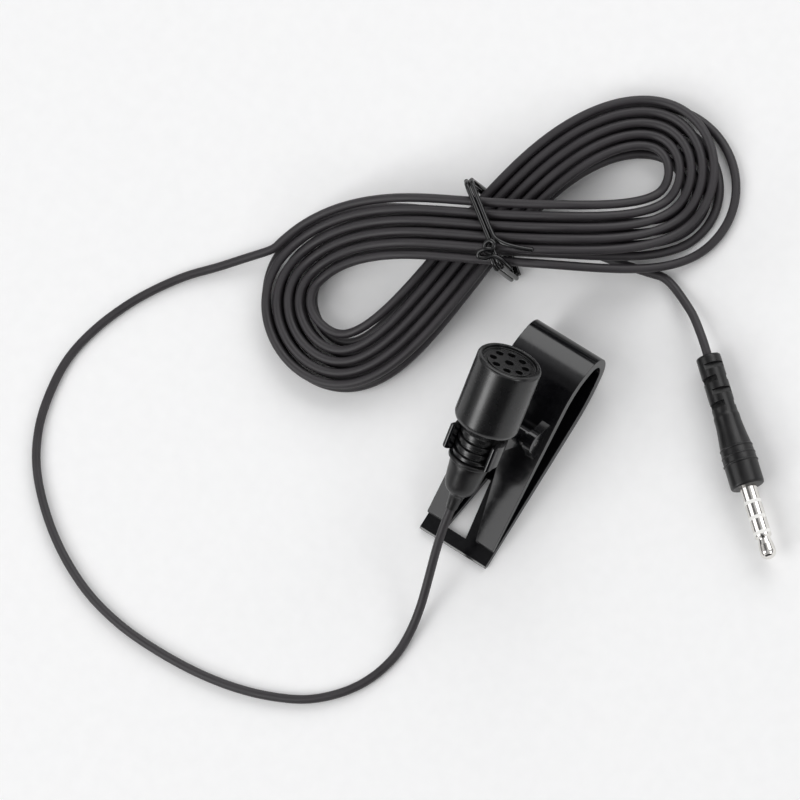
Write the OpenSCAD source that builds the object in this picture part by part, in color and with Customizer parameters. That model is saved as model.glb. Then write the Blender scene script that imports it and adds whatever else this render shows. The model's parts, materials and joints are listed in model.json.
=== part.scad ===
// Lavalier microphone: a small electret head held by its neck in a snap ring,
// tilting on a sprung clip, with a tied hank of cable and a four-pole 3.5 mm plug.
// Millimetres, +Z up. The clip lies on its back arm, its jaw towards -Y.

/* [Clip] */
// Width of the clip across its arms
clip_w = 16.2; // [15.8:0.1:20]
// Length of the clip from the tongue's end to the nose
clip_l = 48; // [44:0.5:56]
// Wall thickness of the arms and the nose
clip_t = 1.9; // [1.6:0.1:2.2]
// Thickness of the back arm's tongue at its end
tongue_t = 1.2; // [1:0.1:1.5]
// Length of the tongue beyond the front arm's tip
tongue_l = 3.6; // [2.5:0.1:5]
// Thickness of the front arm at its tip
tip_t = 1; // [0.8:0.1:1.4]
// Gap between the arms at the jaw
jaw_gap = 0.3; // [0.2:0.1:1.5]
// Outer radius of the belly that rises to the nose
belly_r = 27; // [22:1:32]
// Angle through which the belly rises
belly_a = 25; // [20:1:28]
// Outer radius of the nose
nose_r = 4.65; // [4.2:0.05:5.5]
// Outer radius of the front arm's crest
crest_r = 14; // [11:0.5:18]
// Half width of the front arm's slot at its mouth
slot_w1 = 3.9; // [3.4:0.1:4.2]
// Half width of the front arm's slot at its end
slot_w2 = 0.9; // [0.6:0.1:1.4]
// Length of the front arm's slot
slot_l = 15; // [12:0.5:16]
// Half width of the back arm's window at its jaw end
window_w1 = 2.4; // [1.8:0.1:2.8]
// Half width of the back arm's window at its upper end
window_w2 = 0.5; // [0.4:0.1:1.2]
// Length of the back arm's window
window_l = 12.5; // [10:0.5:13.5]

/* [Tilt hinge] */
// Distance of the hinge from the front arm's tip, along the arm
hinge_s = 24.9; // [23:0.1:26]
// Height of the hinge axis above the front arm
hinge_h = 2.6; // [2.5:0.1:3.4]
// Radius of the hinge pin
pin_r = 0.8; // [0.6:0.05:1]
// Outer radius of the barrel
barrel_r = 1.9; // [1.6:0.1:2.1]
// Half length of the barrel
barrel_h = 5; // [4:0.1:5.4]
// Thickness of each ear
ear_t = 1.9; // [1.4:0.1:2.2]
// Radius of each ear's round top
ear_r = 2.3; // [2:0.1:2.6]

/* [Snap ring] */
// Angle of the microphone above the ground
mic_pitch = 30; // [24:1:36]
// Distance of the microphone's axis from the hinge
arm_l = 12.5; // [11.5:0.1:14]
// Wall of the snap ring
ring_wall = 1.3; // [1.1:0.1:1.6]
// Height of the snap ring along the microphone's axis
ring_h = 5.6; // [5:0.1:5.8]
// Half angle of the ring's open side
ring_open = 66; // [50:1:75]
// Length of each flared lip
lip_l = 1; // [0.8:0.1:2]
// Thickness of the web between the ring and the barrel
web_t = 3.2; // [2.4:0.1:4]

/* [Microphone head] */
// Outer radius of the housing
head_r = 6.7; // [6.5:0.1:8]
// Length of the housing's cylinder
head_l = 15.4; // [14:0.1:18]
// Radius of the neck that the ring holds
neck_r = 4.2; // [4:0.1:4.6]
// Length of the neck
neck_l = 6.2; // [6.2:0.1:7.4]
// Wall of the housing round the capsule
head_wall = 0.95; // [0.8:0.05:1.1]
// Depth of the grille below the rim
grille_sink = 0.5; // [0.3:0.1:0.8]
// Thickness of the grille
grille_t = 1.2; // [0.8:0.1:1.6]
// Radius of the circle of sound holes
hole_ring_r = 3.4; // [3.2:0.1:3.8]
// Radius of each sound hole
hole_r = 0.8; // [0.5:0.05:0.95]
// Radius of the middle sound hole
mid_hole_r = 0.95; // [0.6:0.05:1.2]
// Number of sound holes round the circle
hole_n = 8; // [6:1:9]
// Radius of the electret capsule
can_r = 4.85; // [4:0.05:5]
// Height of the electret capsule
can_h = 4.5; // [3:0.1:5]

/* [Rear boot] */
// Length of the soft boot behind the neck
boot_l = 12.6; // [12:0.1:13.6]
// Largest radius of the boot
boot_r = 4; // [3.8:0.1:4.4]
// Radius of the boot's flange behind the ring
flange_r = 4.75; // [4.6:0.05:5.2]

/* [Cable] */
// Diameter of the cable
cable_d = 1.8; // [1.6:0.1:1.8]
// Free gap between neighbouring turns of the hank
turn_gap = 0.5; // [0.45:0.05:0.6]
// Free height between the layers of the hank
layer_gap = 0.75; // [0.7:0.05:0.9]
// Diameter of the coated wire of the tie
tie_d = 1.3; // [1:0.1:1.4]

/* [Plug] */
// Radius of the plug's shaft
plug_r = 1.75; // [1.75:0.05:1.75]
// Length of the soft overmould
mould_l = 28; // [26:0.5:30]
// Radius of the overmould's grip at its front
mould_r = 3.45; // [3.2:0.05:3.8]
// Radius of the slotted strain relief
relief_r = 2.5; // [2.3:0.05:2.7]
// Length of the sleeve contact outside the overmould
sleeve_l = 3; // [2.8:0.1:4]
// Length of each ring contact
contact_l = 2.5; // [2:0.1:2.6]
// Length of each insulating ring
insulator_l = 0.75; // [0.6:0.05:0.9]
// Length of the tip contact
tip_l = 5.1; // [4.8:0.05:5.4]

/* [Hidden] */
seat = 0.02;      // clearance of pieces that are pressed or glued together
run = 0.05;       // running clearance of the hinge pin and the neck
end_play = 0.1;   // play at each end of the barrel
cable_r = cable_d / 2;
fine = 64;
arc_step = 5;     // degrees between the points of an arc

function unit(v) = v / norm(v);
function polar(r, a) = [r * cos(a), r * sin(a)];
function smooth(t) = let (k = max(0, min(1, t))) k * k * (3 - 2 * k);
function arc(c, r, a1, a2) =
    let (n = max(2, ceil(abs(a2 - a1) / arc_step)))
    [for (i = [0:n]) c + polar(r, a1 + (a2 - a1) * i / n)];

// ---- clip profile, in the YZ plane -------------------------------------------------------
// The outer line runs along the ground, up the belly, round the nose, over the crest and
// down the front arm, which is the tangent from the crest to the arm's tip.
tongue_y = -clip_l / 2;
tip_y = tongue_y + tongue_l;
tip_z = tongue_t + jaw_gap + tip_t;
belly_y = clip_l / 2 - nose_r - (belly_r - nose_r) * sin(belly_a);
belly_c = [belly_y, belly_r];
nose_c = belly_c + polar(belly_r - nose_r, belly_a - 90);
nose_end = 60;    // polar angle at which the nose gives way to the crest
crest_c = nose_c - polar(crest_r - nose_r, nose_end);
to_tip = [tip_y, tip_z] - crest_c;
crest_end = atan2(to_tip[1], to_tip[0]) + asin(crest_r / norm(to_tip)) - 90;
wedge = crest_end - 90;   // slope of the front arm
arm_dir = [cos(wedge), sin(wedge)];
arm_up = [-sin(wedge), cos(wedge)];
belly_in = belly_r - clip_t;
nose_in = nose_r - clip_t;
crest_in = crest_r - clip_t;
arm_start = crest_c + polar(crest_r, crest_end);

clip_outline = concat(
    [[tongue_y, tongue_t * 0.45], [tongue_y + 0.5, 0]],
    arc(belly_c, belly_r, -90, belly_a - 90),
    arc(nose_c, nose_r, belly_a - 90, nose_end),
    arc(crest_c, crest_r, nose_end, crest_end),
    [[tip_y + 0.3, tip_z + 0.3 * tan(wedge)], [tip_y, tip_z - 0.35], [tip_y + 0.2, tip_z - tip_t]],
    arc(crest_c, crest_in, crest_end, nose_end),
    arc(nose_c, nose_in, nose_end, belly_a - 90),
    arc(belly_c, belly_in, belly_a - 90, -90),
    [[tip_y, tongue_t], [tongue_y + 0.4, tongue_t], [tongue_y, tongue_t * 0.8]]);

hinge_foot = [tip_y, tip_z] + hinge_s * arm_dir;
hinge_at = hinge_foot + hinge_h * arm_up;
ear_x = barrel_h + end_play;

// The front arm is forked by a slot that opens at its tip; the back arm has a closed window
// below it, which stands a little to one side
window_x = -1;
window_y = tip_y - 0.5;
arm_gap_slope = atan((clip_t - tongue_t) / (belly_y - tip_y));

module tapered(w1, w2, l) {
    polygon([[-w1, 0], [w1, 0], [w2, l], [-w2, l]]);
}

// Shapes drawn along the front arm: x across, y along the arm from its tip, z off its face
module on_arm() {
    translate([0, tip_y, tip_z]) rotate([wedge, 0, 0]) children();
}

module ear_profile() {
    foot = 2.2;   // how far the ear's foot spreads beyond its round top
    circle(r = ear_r, $fn = fine);
    polygon([[-ear_r, 0], [ear_r, 0], [ear_r + foot, -hinge_h - clip_t / 2],
        [-ear_r - foot, -hinge_h - clip_t / 2]]);
}

module visor_clip() {
    mouth = 1;
    overlap = 0.01;
    color([0.06, 0.06, 0.065]) difference() {
        union() {
            rotate([90, 0, 90]) linear_extrude(height = clip_w, center = true) polygon(clip_outline);
            for (side = [-1, 1])
                on_arm() translate([side * (ear_x + ear_t / 2), hinge_s, hinge_h])
                    rotate([90, 0, 90]) linear_extrude(height = ear_t, center = true) ear_profile();
        }
        translate([window_x, window_y, -1]) linear_extrude(height = clip_t + 1)
            tapered(window_w1, window_w2, window_l);
        translate([0, tip_y, tongue_t + jaw_gap / 2]) rotate([arm_gap_slope, 0, 0])
            linear_extrude(height = clip_l) {
                tapered(slot_w1, slot_w2, slot_l);
                translate([0, slot_l]) circle(r = slot_w2, $fn = 32);
                translate([-slot_w1, -mouth]) square([2 * slot_w1, mouth + overlap]);
            }
        translate([0, hinge_at[0], hinge_at[1]]) rotate([0, 90, 0])
            cylinder(r = pin_r + seat / 2, h = clip_w + 2, center = true, $fn = fine);
    }
}

module hinge_pin() {
    color([0.72, 0.72, 0.74]) translate([0, hinge_at[0], hinge_at[1]]) rotate([0, 90, 0])
        cylinder(r = pin_r, h = 2 * (ear_x + ear_t) - 0.2, center = true, $fn = fine);
}

// ---- microphone's own frame: z along its axis towards the grille, y towards the clip -----
mic_dir = [0, cos(mic_pitch), sin(mic_pitch)];
mic_at = [0, hinge_at[0] - arm_l * sin(mic_pitch), hinge_at[1] + arm_l * cos(mic_pitch)];

module place_mic() {
    translate(mic_at) rotate([mic_pitch - 90, 0, 0]) children();
}

ring_in = neck_r + run;
ring_out = ring_in + ring_wall;

lip_flare = 30;   // how far the lips turn out

module ring_plan() {
    lip_r = ring_wall / 2;
    mid_r = ring_in + lip_r;
    reach = 2 * ring_out;
    difference() {
        circle(r = ring_out, $fn = 96);
        circle(r = ring_in, $fn = 96);
        polygon([[0, 0], reach * [sin(ring_open), -cos(ring_open)], [0, -2 * reach],
            reach * [-sin(ring_open), -cos(ring_open)]]);
    }
    for (side = [-1, 1])
        translate([side * mid_r * sin(ring_open), -mid_r * cos(ring_open)])
            rotate(side * lip_flare) {
                circle(r = lip_r, $fn = 32);
                translate([-lip_r, -lip_l]) square([2 * lip_r, lip_l]);
                translate([0, -lip_l]) circle(r = lip_r, $fn = 32);
            }
}

module ring_side_view() {
    corner = 2.2;
    reach = ring_out + lip_l;
    for (x = [-1, 1], z = [-1, 1])
        translate([x * (reach - corner), z * (ring_h / 2 - corner)]) circle(r = corner, $fn = fine);
    square([2 * reach - 2 * corner, ring_h], center = true);
    square([2 * reach, ring_h - 2 * corner], center = true);
}

module holder_ring() {
    color([0.07, 0.07, 0.075]) place_mic() difference() {
        union() {
            intersection() {
                translate([0, 0, -ring_h / 2]) linear_extrude(height = ring_h) ring_plan();
                rotate([90, 0, 0]) linear_extrude(height = 40, center = true) ring_side_view();
            }
            difference() {
                translate([0, 0, -web_t / 2]) linear_extrude(height = web_t)
                    polygon([[-3.4, ring_in + 0.3], [3.4, ring_in + 0.3], [barrel_h - 0.4, arm_l],
                        [0.4 - barrel_h, arm_l]]);
                cylinder(r = ring_in, h = 20, center = true, $fn = 96);
            }
            translate([0, arm_l, 0]) rotate([0, 90, 0])
                cylinder(r = barrel_r, h = 2 * barrel_h, center = true, $fn = fine);
        }
        translate([0, arm_l, 0]) rotate([0, 90, 0])
            cylinder(r = pin_r + run, h = 2 * barrel_h + 2, center = true, $fn = fine);
    }
}

neck_z1 = -neck_l / 2;
head_z1 = neck_l / 2 + 1.4;
head_z2 = head_z1 + head_l;
bore_r = head_r - head_wall;
passage_r = 2.7;
bore_z = head_z2 - 11;
rim_r = 0.7;
shoulder_r = 1.6;
groove_n = 3;
groove_w = 0.85;
groove_d = 0.5;
groove_step = 1.7;

function groove(z) = [[neck_r, z - groove_w / 2], [neck_r - groove_d, z - groove_w / 4],
    [neck_r - groove_d, z + groove_w / 4], [neck_r, z + groove_w / 2]];

module mic_housing() {
    color([0.09, 0.09, 0.09]) place_mic() rotate_extrude($fn = 96) polygon(concat(
        [[passage_r, neck_z1], [neck_r - 0.2, neck_z1], [neck_r, neck_z1 + 0.2]],
        [for (i = [0:groove_n - 1]) each groove((i - (groove_n - 1) / 2) * groove_step)],
        [[neck_r, neck_l / 2]],
        arc([head_r - shoulder_r, head_z1 + shoulder_r], shoulder_r, -62, 0),
        arc([head_r - rim_r, head_z2 - rim_r], rim_r, 0, 90),
        [[bore_r + 0.1, head_z2], [bore_r, head_z2 - 0.15], [bore_r, bore_z],
            [passage_r, bore_z]]));
}

grille_z = head_z2 - grille_sink - grille_t;
grille_r = bore_r - seat;

module grille_cap() {
    color([0.07, 0.07, 0.07]) place_mic() translate([0, 0, grille_z]) difference() {
        cylinder(r = grille_r, h = grille_t, $fn = 96);
        translate([0, 0, grille_t - 0.35]) difference() {
            cylinder(r = grille_r - 0.35, h = 1, $fn = 96);
            translate([0, 0, -1]) cylinder(r = hole_ring_r + hole_r + 0.45, h = 3, $fn = 96);
        }
        translate([0, 0, -1]) cylinder(r = mid_hole_r, h = grille_t + 2, $fn = 32);
        for (i = [0:hole_n - 1])
            rotate((i + 0.5) * 360 / hole_n) translate([hole_ring_r, 0, -1])
                cylinder(r = hole_r, h = grille_t + 2, $fn = 32);
    }
}

screen_t = 0.35;
screen_z = grille_z - screen_t;

module dust_screen() {
    color([0.12, 0.12, 0.12]) place_mic() translate([0, 0, screen_z])
        cylinder(r = bore_r - 0.25, h = screen_t, $fn = fine);
}

can_wall = 0.3;
can_z2 = screen_z;
can_z1 = can_z2 - can_h;

module capsule_gasket() {
    color([0.15, 0.15, 0.15]) place_mic() translate([0, 0, can_z1 - 0.4]) difference() {
        cylinder(r = bore_r - seat, h = can_h + 0.4, $fn = 96);
        translate([0, 0, -1]) cylinder(r = can_r + seat, h = can_h + 3, $fn = 96);
    }
}

module electret_can() {
    color([0.78, 0.79, 0.8]) place_mic() difference() {
        translate([0, 0, can_z1]) cylinder(r = can_r, h = can_h, $fn = 96);
        translate([0, 0, can_z1 - 1]) cylinder(r = can_r - can_wall, h = can_h + 1 - can_wall, $fn = 96);
        translate([0, 0, can_z1]) cylinder(r = 1, h = can_h + 1, $fn = 32);
    }
}

board_t = 0.6;
board_z = can_z1 + 0.2;
film_t = 0.15;
film_z = can_z2 - can_wall - 0.6;

module electret_ring() {
    color([0.85, 0.82, 0.7]) place_mic() translate([0, 0, board_z + board_t]) difference() {
        cylinder(r = can_r - can_wall - seat, h = film_z - board_z - board_t, $fn = fine);
        translate([0, 0, -1]) cylinder(r = can_r - can_wall - 0.9, h = can_h + 2, $fn = fine);
    }
}

module diaphragm() {
    color([0.8, 0.75, 0.6]) place_mic() translate([0, 0, film_z])
        cylinder(r = can_r - can_wall - seat, h = film_t, $fn = fine);
}

module capsule_board() {
    color([0.1, 0.35, 0.2]) place_mic() translate([0, 0, board_z])
        cylinder(r = can_r - can_wall - seat, h = board_t, $fn = fine);
}

pad_x = 1.3;
pad_r = 0.7;
joint_h = 0.6;
wire_r = 0.35;
crimp_z = 3.2;
crimp_l = 2.4;
stub_z = crimp_z + crimp_l + 0.4;

module solder_joints() {
    color([0.75, 0.75, 0.73]) place_mic() for (side = [-1, 1])
        translate([side * pad_x, 0, board_z - joint_h])
            cylinder(r1 = wire_r + 0.05, r2 = pad_r, h = joint_h, $fn = 32);
}

module core_wires() {
    color([0.7, 0.15, 0.1]) place_mic() for (side = [-1, 1])
        sweep([[side * 0.45, 0, stub_z], [side * 0.45, 0, stub_z + 0.6],
            [side * (pad_x + 0.45) / 2, 0, stub_z + 1.8], [side * pad_x, 0, board_z - joint_h - 0.6],
            [side * pad_x, 0, board_z - joint_h]], wire_r, 8, [0, 1, 0]);
}

boot_z = neck_z1 - boot_l;

module cord_stub() {
    color([0.08, 0.08, 0.08]) place_mic() translate([0, 0, boot_z])
        cylinder(r = cable_r, h = stub_z - boot_z, $fn = 32);
}

module cord_crimp() {
    color([0.7, 0.6, 0.35]) place_mic() translate([0, 0, crimp_z]) difference() {
        cylinder(r = cable_r + 0.55, h = crimp_l, $fn = 32);
        translate([0, 0, -1]) cylinder(r = cable_r + seat / 2, h = crimp_l + 2, $fn = 32);
    }
}

cup_l = 8.6;      // length of the boot's cup, ahead of its tapered tail
cup_round = 2.6;
tail_r1 = 1.5;
tail_r2 = 1.15;

module rear_boot() {
    flange_t = 0.9;
    mouth_r = boot_r - 0.1;
    belly_r2 = boot_r - 0.3;
    base_r = boot_r - 0.75;
    z0 = neck_z1;
    cup_z = z0 - cup_l;
    bore = cable_r + seat / 2;
    color([0.1, 0.1, 0.1]) place_mic() rotate_extrude($fn = 96) polygon(concat(
        [[bore, crimp_z], [bore, boot_z], [tail_r2 - 0.1, boot_z], [tail_r2, boot_z + 0.15]],
        [[tail_r1, cup_z - 0.5], [tail_r1 + 0.15, cup_z - 0.15]],
        arc([base_r - cup_round, cup_z + cup_round], cup_round, -75, 0),
        [[belly_r2, z0 - 0.45 * cup_l], [boot_r, z0 - flange_t - 1.4], [mouth_r, z0 - flange_t - 0.2],
            [flange_r - 0.15, z0 - flange_t], [flange_r, z0 - flange_t / 2],
            [flange_r - 0.15, z0], [passage_r - seat, z0], [passage_r - seat, crimp_z]]));
}

// ---- cable -------------------------------------------------------------------------------
// A tube swept along points: each ring stands square to the route, its flats level with ref
function tangent(p, i) = let (a = max(0, i - 1), b = min(len(p) - 1, i + 1)) unit(p[b] - p[a]);
function ring_at(c, t, ref, r, n, turn) = let (s = unit(cross(ref, t)), u = cross(t, s))
    [for (k = [0:n - 1]) c + r * (cos(360 * (k + turn) / n) * s + sin(360 * (k + turn) / n) * u)];
function wall_faces(rings, n) = [for (i = [0:rings - 2]) for (k = [0:n - 1])
    let (a = i * n + k, b = i * n + (k + 1) % n)
    each [[a, a + n, b], [b, a + n, b + n]]];
function cap_faces(rings, n) = let (last = (rings - 1) * n)
    [for (k = [1:n - 2]) each [[0, k, k + 1], [last, last + k + 1, last + k]]];
function spline(p, i, t) = let (a = p[max(0, i - 1)], b = p[i], c = p[i + 1],
    d = p[min(len(p) - 1, i + 2)])
    0.5 * (2 * b + (c - a) * t + (2 * a - 5 * b + 4 * c - d) * t * t
        + (3 * b - a - 3 * c + d) * t * t * t);
function refine(p) = concat([p[0], p[1]],
    [for (i = [1:len(p) - 3]) each [spline(p, i, 0.5), p[i + 1]]], [p[len(p) - 1]]);

module sweep(path, r, n, ref, turn = 0) {
    rings = len(path);
    polyhedron(points = [for (i = [0:rings - 1]) each ring_at(path[i], tangent(path, i), ref, r, n, turn)],
        faces = concat(wall_faces(rings, n), cap_faces(rings, n)), convexity = 10);
}

module swept_loop(path, r, n, ref) {
    rings = len(path);
    count = rings * n;
    points = [for (i = [0:rings - 1])
        each ring_at(path[i], unit(path[(i + 1) % rings] - path[(i + rings - 1) % rings]), ref, r, n, 0)];
    polyhedron(points = points, faces = [for (i = [0:rings - 1]) for (k = [0:n - 1])
        let (a = i * n + k, b = i * n + (k + 1) % n)
        each [[a, (a + n) % count, b], [b, (a + n) % count, (b + n) % count]]], convexity = 10);
}

up = [0, 0, 1];

// The hank is a figure of eight tied at its waist. It is wound in two layers: the upper one
// spirals from the mic's lead across the band, drops a layer, and the lower one spirals back
// and leaves under the crossing. u runs along the hank, v across it.
hank_at = [-27.2, 33.2];
hank_turn = 46.7;
lobe_l = 44.4;        // half length of the middle turn
flat_bow = 8;         // bow of the run that crosses on top
steep_bow = 15.5;      // bow of the run that crosses below
bow_skew = 3;         // how much fuller the first lobe is
spread = 0.02;        // how much the turns open out away from the waist
turn_pitch = cable_d + turn_gap;
layer_step = cable_d + layer_gap;
start_a = -60;        // where the mic's lead joins
start_off = -5.7;
peak_a = 1815;        // where the spiral reverses
leave_a = 3570;       // where the lower end leaves its slot
end_a = 3641;
end_off = 6.6;
leave_bend = 2;       // how late the lower end turns out of the band
rings_per_turn = 40;
cross_a = 15;         // half angle over which the crossing runs stay lifted
fall_a = 64;
early_fall = 4;       // how much sooner the lower layer comes down
tie_lift = tie_d + 0.3;
under_a = 3540;       // from here the lower end stays low, and runs out under the others
// Each lobe's shape, for the lobe towards +u and the lobe towards -u
blunt = [0.015, -0.015];
lean = [3.7, 3.8];
// How the lower layer's lobes lie beside the upper layer's: drawn in, and moved across
lower_a = 1800;       // the crossing from which the turns follow the lower layer's lobes
tuck = [-0.5, 1];
sway = [-3.7, 0.2];
// Three half turns stray from the band: the inmost of the upper layer, the outmost at each end
inner_a = 1620;
last_a = 3420;
inner_stray = 1;
outer_stray = 1.1;
one_side = 2.6;       // brings the stray that is kept to one side of a lobe to its full size

function bow(a) = let (w = (1 - cos(a)) / 2) flat_bow + w * (steep_bow - bow_skew * sin(a) - flat_bow);
function eight(a) = let (k = sin(a) > 0 ? 0 : 1, w = a > lower_a ? sin(a) * abs(sin(a)) : 0)
    [lobe_l * (sin(a) + blunt[k] * sin(3 * a)) - tuck[k] * w,
        -bow(a) * sin(2 * a) + lean[k] * pow(sin(a), 3) + sway[k] * abs(w)];
function steady(a) = a < peak_a ? start_off + turn_pitch * (a - start_a) / 360
    : start_off + turn_pitch * (2 * peak_a - start_a - a) / 360;
function offset_at(a) = a < leave_a ? steady(a)
    : steady(leave_a) + (end_off - steady(leave_a)) * pow((a - leave_a) / (end_a - leave_a), leave_bend);
function stray(a) = let (w = sin(a) * sin(a))
    a > inner_a && a <= lower_a ? inner_stray * one_side * w * max(0, -cos(a))
    : a > lower_a && a < lower_a + 180 ? outer_stray * w
    : a > last_a && a < last_a + 180 ? -outer_stray * one_side * w * max(0, cos(a)) : 0;
function near(a, target) = let (d = abs(((a - target + 180) % 360 + 360) % 360 - 180),
    fall = fall_a - (a > lower_a ? early_fall : 0)) smooth((fall - d) / (fall - cross_a));
function layer(a) = 1 - smooth((a - peak_a + 90) / 180);
function lift(a) = a > under_a ? tie_lift * near(a, 0)
    : layer_step * layer(a) + near(a, 180) * (tie_lift + layer_step)
        + near(a, 0) * (tie_lift + 3 * layer_step);
function hank_uv(a) = let (d = eight(a + 1) - eight(a - 1), n = unit([d[1], -d[0]]))
    eight(a) + (offset_at(a) * (1 + spread * sin(a) * sin(a)) + stray(a)) * n;
function hank_point(a) = let (q = hank_uv(a))
    [hank_at[0] + q[0] * cos(hank_turn) - q[1] * sin(hank_turn),
        hank_at[1] + q[0] * sin(hank_turn) + q[1] * cos(hank_turn), cable_r + lift(a)];
hank_rings = floor((end_a - start_a) / 360 * rings_per_turn);
hank_run = [for (i = [0:hank_rings]) hank_point(start_a + (end_a - start_a) * i / hank_rings)];
hank_in_dir = unit(hank_run[1] - hank_run[0]);
hank_out_dir = unit(hank_run[hank_rings] - hank_run[hank_rings - 1]);
hank_in = hank_run[0] - cable_d * hank_in_dir;
hank_out = hank_run[hank_rings] + cable_d * hank_out_dir;
hank_path = concat([hank_in], hank_run, [hank_out]);

function to_segment(p, a, b) = let (ab = b - a, k = max(0, min(1, ((p - a) * ab) / (ab * ab))))
    norm(p - a - k * ab);
function least_gap(p, skip) = min([for (i = [0:len(p) - 1]) for (j = [i + skip:1:len(p) - 2])
    to_segment(p[i], p[j], p[j + 1])]) - cable_d;
function run_length(p) = len(p) < 2 ? 0 : norm(p[1] - p[0]) + run_tail(p, 1, 0);
function run_tail(p, i, sum) = i >= len(p) - 1 ? sum : run_tail(p, i + 1, sum + norm(p[i + 1] - p[i]));

module cable_hank() {
    echo(hank_least_gap_mm = least_gap(hank_path, 8), hank_length_mm = run_length(hank_path));
    color([0.1, 0.1, 0.1]) sweep(hank_path, cable_r, 6, up);
}

mic_exit = mic_at + boot_z * mic_dir;
// The free loop, as x, y and height above the ground at which the cable lies
free_loop = [[0.3, -26.5, 8.7], [0.9, -32, 5.1], [1.6, -37.5, 2.2], [2, -43, 0.5], [1.8, -48.5, 0.08],
    [0, -54.5, 0], [-3.5, -60, 0], [-9, -65, 0], [-16, -68.5, 0], [-24, -71, 0], [-33, -72.5, 0],
    [-43, -73, 0], [-52, -72.5, 0], [-61, -70.5, 0], [-70, -66.5, 0], [-78, -61, 0],
    [-84.5, -54.5, 0], [-88.5, -47.5, 0], [-90.5, -40, 0], [-91, -32.5, 0], [-89.5, -25, 0],
    [-86.5, -17.5, 0], [-82.9, -11.3, 0.05], [-78.6, -5.6, 0.2], [-74, -1, 0.6], [-69.8, 3.4, 1.2]];
mic_route = concat([mic_exit, mic_exit - 3 * cable_d * mic_dir],
    [for (p = free_loop) p + [0, 0, cable_r]],
    [hank_in - 1.2 * cable_d * hank_in_dir, hank_in]);
plug_turn = -40;
rib_r = 0.28;         // radius of the bead of each grip rib
rib_sink = 0.12;      // how far each bead's middle lies inside the grip's surface
plug_at = [25.05, 35.5, mould_r + rib_r - rib_sink];
plug_dir = [cos(plug_turn), sin(plug_turn), 0];
plug_route = concat([hank_out, hank_out + cable_d * hank_out_dir],
    [[10.5, 43.9, 1.2], [14.2, 42.5, 1.9], [17.9, 40.8, 2.7]],
    [plug_at - 2 * cable_d * plug_dir, plug_at]);

module lead_mic_side() {
    echo(mic_lead_length_mm = run_length(refine(mic_route)));
    color([0.1, 0.1, 0.1]) sweep(refine(mic_route), cable_r, 8, up, 0.5);
}

module lead_plug_side() {
    echo(plug_lead_length_mm = run_length(refine(plug_route)));
    color([0.1, 0.1, 0.1]) sweep(refine(plug_route), cable_r, 8, up, 0.5);
}

// The tie is one coated wire taken once round the waist and twisted on top of it
tie_r = tie_d / 2;
tie_u = 2;            // where the tie stands along the hank
tie_half = 9.55;
tie_mid = 0.2;
tie_top = tie_lift + 4 * layer_step + cable_d + 0.3 + tie_r;
tie_round = 1.8;
function tie_ring() = [for (q = [[1, 1, 0], [-1, 1, 90], [-1, -1, 180], [1, -1, 270]])
    for (a = [0:30:90])
        [tie_mid + q[0] * (tie_half - tie_round), (tie_top + tie_r) / 2
            + q[1] * ((tie_top - tie_r) / 2 - tie_round)] + polar(tie_round, q[2] + a)];
function waist(u, v, z) = [hank_at[0] + u * cos(hank_turn) - v * sin(hank_turn),
    hank_at[1] + u * sin(hank_turn) + v * cos(hank_turn), z];
tie_loop = [for (p = tie_ring()) waist(tie_u, p[0], p[1])];
twist_z = tie_top + 0.75 * tie_d;   // the tails lie bedded on the loop
tail_route = [for (p = [[0.2, -1.2, 0], [1.6, -2.8, 0.3], [3.6, -4.4, 0], [6, -5.4, -0.5], [8.4, -6, -1.2]])
    waist(tie_u + p[0], p[1], twist_z + p[2])];
short_route = [for (p = [[-0.4, -1.6, 0.1], [0.2, -3.4, 0.5], [0.6, -5.4, 0.2], [1, -7.2, -0.6]])
    waist(tie_u + p[0], p[1], twist_z + p[2])];

module twist_tie() {
    along = [cos(hank_turn), sin(hank_turn), 0];
    color([0.04, 0.04, 0.04]) {
        swept_loop(tie_loop, tie_r, 6, along);
        sweep(refine(tail_route), tie_r, 6, up);
        sweep(refine(short_route), tie_r, 6, up);
    }
}

// ---- plug's own frame: z along the plug towards its tip, y level ------------------------
module place_plug() {
    translate(plug_at) rotate([0, 90, plug_turn]) children();
}

core_r = 1.1;
rod_r = 0.55;
collar_z = mould_l - 3.6;
shank_r = plug_r - 0.35;   // radius of the sleeve inside the overmould
bush_r = plug_r + 0.6;
slot_w = 1.1;
slot_depth = 0.95;
slot_lean = 38;      // how far the relief's slots stand round from the top
slot_first = 2.5;
slot_step = 2.7;
slot_n = 4;
relief_l = 12.4;
grip_r1 = 2.65;
rib_n = 3;
rib_step = 1.6;
rib_last = mould_l - 5;

module plug_overmould() {
    edge_r = 0.45;
    end_r = relief_r - 0.15;
    color([0.1, 0.1, 0.1]) place_plug() difference() {
        union() {
            rotate_extrude($fn = fine) polygon(concat(
                [[0, 0], [end_r - 0.4, 0], [end_r, 0.4], [relief_r, 1.2], [relief_r, relief_l],
                    [grip_r1, relief_l + 0.4]],
                [for (k = [0:6]) [grip_r1 + (mould_r - grip_r1) * smooth(k / 6),
                    relief_l + 0.8 + (rib_last - 1 - relief_l) * k / 6]],
                arc([mould_r - edge_r, mould_l - edge_r], edge_r, 0, 90), [[0, mould_l]]));
            for (i = [0:rib_n - 1])
                translate([0, 0, rib_last - i * rib_step]) rotate_extrude($fn = fine)
                    translate([mould_r - rib_sink - 0.1 * i, 0]) circle(r = rib_r, $fn = 16);
        }
        for (i = [0:slot_n - 1], side = [0, 180])
            rotate(side + (i % 2 == 0 ? -slot_lean : slot_lean))
                translate([-2 * mould_r - relief_r + slot_depth, -mould_r,
                    slot_first + i * slot_step - slot_w / 2])
                    cube([2 * mould_r, 2 * mould_r, slot_w]);
        translate([0, 0, collar_z]) cylinder(r = bush_r + seat, h = 10, $fn = fine);
    }
}

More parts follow.
